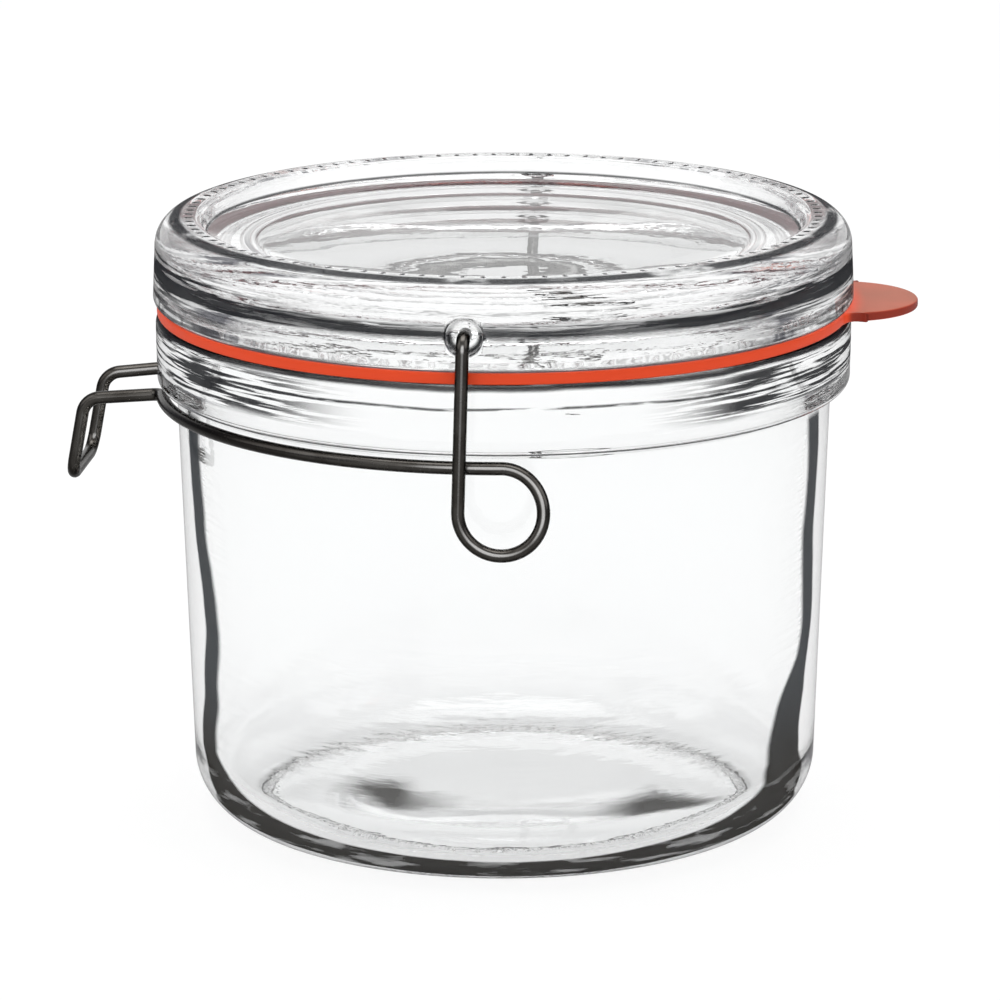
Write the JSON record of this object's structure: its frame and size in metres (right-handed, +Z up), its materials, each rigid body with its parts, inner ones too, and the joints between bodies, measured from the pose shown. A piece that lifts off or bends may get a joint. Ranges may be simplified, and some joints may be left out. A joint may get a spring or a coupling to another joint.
{
  "type": "food storage jar",
  "caption": "Round clear glass food jar with a pressed glass lid, a rubber gasket with a pull tab, and a sprung wire clip that swings over to lock the lid.",
  "frame": {"origin": "on the jar's axis, in the plane of the foot ring that it stands on", "axes": "+Z up along the jar's axis, -X towards the wire clip's finger lever, Y along the line through the lid's two dimples"},
  "size_m": [0.132, 0.113, 0.095],
  "materials": {
    "jar_glass": "clear, smooth",
    "lid_glass": "clear, smooth",
    "gasket_rubber": "smooth, slightly satin",
    "clip_wire": "dark drawn spring wire, softly polished"
  },
  "bodies": {
    "jar": {"jar_body": "jar_glass"},
    "lid": {"lid": "lid_glass", "gasket": "gasket_rubber"},
    "clip": {"wire_clip": "clip_wire"}
  },
  "joints": [
    {"name": "lid_lift", "type": "slide", "parent": "jar", "child": "lid", "axis": [0, 0, 1], "range_m": [0, 0.09]},
    {"name": "clip_swing", "type": "hinge", "parent": "lid", "child": "clip", "pos_m": [0, 0, 0.087], "axis": [0, 1, 0], "range_deg": [0, 200]}
  ]
}
